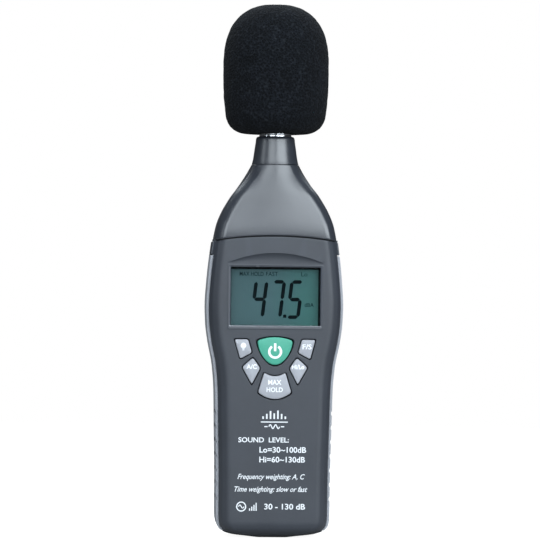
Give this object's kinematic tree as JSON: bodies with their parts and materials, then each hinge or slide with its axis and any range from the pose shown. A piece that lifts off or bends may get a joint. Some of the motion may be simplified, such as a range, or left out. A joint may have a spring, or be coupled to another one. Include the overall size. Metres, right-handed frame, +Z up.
{
  "type": "sound level meter",
  "caption": "Handheld sound level meter with a foam windscreen over a half-inch microphone, a segment display, keys and rubber side grips.",
  "frame": {"origin": "centre of the foot on the standing surface, on the microphone's axis", "axes": "+Z up along the microphone's axis, -Y out of the display side, +X to the right of someone reading the display"},
  "size_m": [0.0538, 0.0416, 0.21],
  "materials": {
    "case_plastic": "fine textured ABS",
    "head_plastic": "fine textured ABS",
    "grip_rubber": "matte light grey",
    "foam": "open-cell foam",
    "clear_window": "clear acrylic",
    "lcd_glass": "reflective grey-green display",
    "key_grey": "satin",
    "key_green": "satin",
    "dark_plastic": "matt black",
    "white_plastic": "satin white",
    "dark_rubber": "silicone",
    "circuit_board": "green solder mask",
    "chrome": "bright plated",
    "screw_steel": "zinc plated",
    "brass": "machined",
    "battery_jacket": "printed jacket",
    "red_insulation": "smooth PVC"
  },
  "bodies": {
    "housing": {"front_case": "case_plastic", "rear_case": "case_plastic", "head_shell": "head_plastic", "neck_collar": "head_plastic", "grip_left": "grip_rubber", "grip_right": "grip_rubber", "display_window": "clear_window", "lcd_panel": "lcd_glass", "lcd_holder": "dark_plastic", "backlight_panel": "white_plastic", "zebra_strip_top": "dark_rubber", "zebra_strip_bottom": "dark_rubber", "main_board": "circuit_board", "keypad_mat": "dark_rubber", "switch_power": "dark_plastic", "switch_backlight": "dark_plastic", "switch_response": "dark_plastic", "switch_weighting": "dark_plastic", "switch_range": "dark_plastic", "switch_max_hold": "dark_plastic", "microphone_barrel": "chrome", "microphone_grid": "chrome", "microphone_capsule": "screw_steel", "microphone_gasket": "dark_rubber", "microphone_lead": "dark_plastic", "battery": "battery_jacket", "battery_snap": "dark_plastic", "battery_lead_positive": "red_insulation", "battery_lead_negative": "dark_plastic", "case_screw_1": "screw_steel", "case_screw_2": "screw_steel", "case_screw_3": "screw_steel", "case_screw_4": "screw_steel", "board_screw_1": "screw_steel", "board_screw_2": "screw_steel", "tripod_insert": "brass", "trimmer_body": "white_plastic", "processor_chip": "dark_plastic", "amplifier_chip": "dark_plastic", "filter_capacitor": "dark_plastic"},
    "power_key": {"key_power": "key_green"},
    "backlight_key": {"key_backlight": "key_grey"},
    "response_key": {"key_response": "key_grey"},
    "weighting_key": {"key_weighting": "key_grey"},
    "range_key": {"key_range": "key_grey"},
    "max_hold_key": {"key_max_hold": "key_grey"},
    "windscreen": {"windscreen": "foam"},
    "battery_door": {"battery_cover": "case_plastic", "battery_pad": "foam", "battery_cover_screw": "screw_steel"},
    "trimmer": {"trimmer_rotor": "white_plastic"}
  },
  "joints": [
    {"name": "power_key_press", "type": "slide", "parent": "housing", "child": "power_key", "axis": [0, 1, 0], "range_m": [0, 0.001], "stiffness_N_per_m": 800, "springref_m": -0.0004},
    {"name": "backlight_key_press", "type": "slide", "parent": "housing", "child": "backlight_key", "axis": [0, 1, 0], "range_m": [0, 0.001], "stiffness_N_per_m": 800, "springref_m": -0.0004},
    {"name": "response_key_press", "type": "slide", "parent": "housing", "child": "response_key", "axis": [0, 1, 0], "range_m": [0, 0.001], "stiffness_N_per_m": 800, "springref_m": -0.0004},
    {"name": "weighting_key_press", "type": "slide", "parent": "housing", "child": "weighting_key", "axis": [0, 1, 0], "range_m": [0, 0.001], "stiffness_N_per_m": 800, "springref_m": -0.0004},
    {"name": "range_key_press", "type": "slide", "parent": "housing", "child": "range_key", "axis": [0, 1, 0], "range_m": [0, 0.001], "stiffness_N_per_m": 800, "springref_m": -0.0004},
    {"name": "max_hold_key_press", "type": "slide", "parent": "housing", "child": "max_hold_key", "axis": [0, 1, 0], "range_m": [0, 0.001], "stiffness_N_per_m": 800, "springref_m": -0.0004},
    {"name": "windscreen_pull", "type": "slide", "parent": "housing", "child": "windscreen", "axis": [0, 0, 1], "range_m": [0, 0.03]},
    {"name": "battery_door_lift", "type": "slide", "parent": "housing", "child": "battery_door", "axis": [0, 1, 0], "range_m": [0, 0.025]},
    {"name": "trimmer_turn", "type": "hinge", "parent": "housing", "child": "trimmer", "pos_m": [0.009, 0.009, 0.101], "axis": [0, 1, 0], "range_deg": [-135, 135]}
  ]
}
